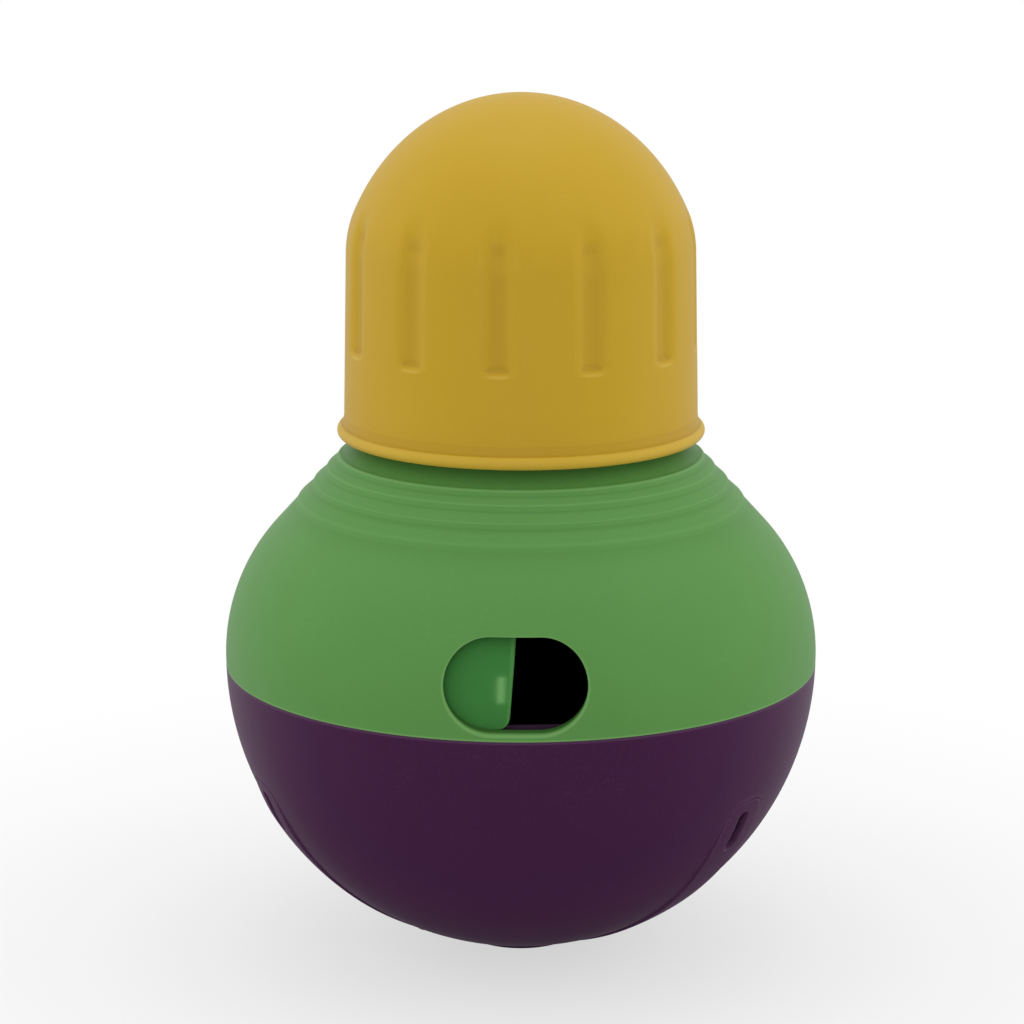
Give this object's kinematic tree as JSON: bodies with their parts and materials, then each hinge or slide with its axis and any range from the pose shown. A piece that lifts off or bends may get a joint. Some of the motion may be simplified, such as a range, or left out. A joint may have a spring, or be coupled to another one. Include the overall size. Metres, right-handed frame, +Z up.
{
  "type": "treat dispensing dog toy",
  "caption": "Weighted round treat dispensing dog toy with a screw-on chamber cap, a metered chamber floor and a shuttered slot; it rights itself when tipped.",
  "frame": {"origin": "on the floor under the middle of the flat foot", "axes": "+Z up along the toy's axis, -Y out through the dispensing slot, +X to the right when facing the slot"},
  "size_m": [0.2, 0.2, 0.2899],
  "materials": {
    "bowl_plastic": "fine satin moulding",
    "dome_plastic": "fine satin moulding",
    "cap_plastic": "fine satin moulding",
    "shutter_plastic": "smooth gloss moulding",
    "grip_rubber": "soft matte rubber",
    "iron": "as cast",
    "steel": "zinc plated"
  },
  "bodies": {
    "housing": {"bowl": "bowl_plastic", "dome": "dome_plastic", "shutter_track": "bowl_plastic", "ballast": "iron", "ballast_cover": "bowl_plastic", "cover_screws": "steel", "foot_pad": "grip_rubber", "grip_strip_1": "grip_rubber", "grip_strip_2": "grip_rubber", "grip_strip_3": "grip_rubber"},
    "shutter": {"shutter": "shutter_plastic"},
    "chamber_insert": {"chamber_floor": "dome_plastic", "meter_pivot": "dome_plastic"},
    "cap": {"cap": "cap_plastic"},
    "meter": {"meter_disc": "cap_plastic"}
  },
  "joints": [
    {"name": "cap_lift", "type": "slide", "parent": "housing", "child": "chamber_insert", "axis": [0, 0, 1], "range_m": [0, 0.02251]},
    {"name": "cap_turn", "type": "hinge", "parent": "chamber_insert", "child": "cap", "pos_m": [0, 0, 0.1765], "axis": [0, 0, 1], "range_deg": [0, 450]},
    {"name": "meter_turn", "type": "hinge", "parent": "chamber_insert", "child": "meter", "pos_m": [0, 0, 0.194], "axis": [0, 0, 1], "range_deg": [0, 90]},
    {"name": "shutter_turn", "type": "hinge", "parent": "housing", "child": "shutter", "pos_m": [0, 0, 0.1168], "axis": [0, 0, 1], "range_deg": [-14.5, 14.5]}
  ],
  "couplings": [
    {"joint": "cap_lift", "follows": "cap_turn", "m_per_rad": 0.0028648}
  ]
}
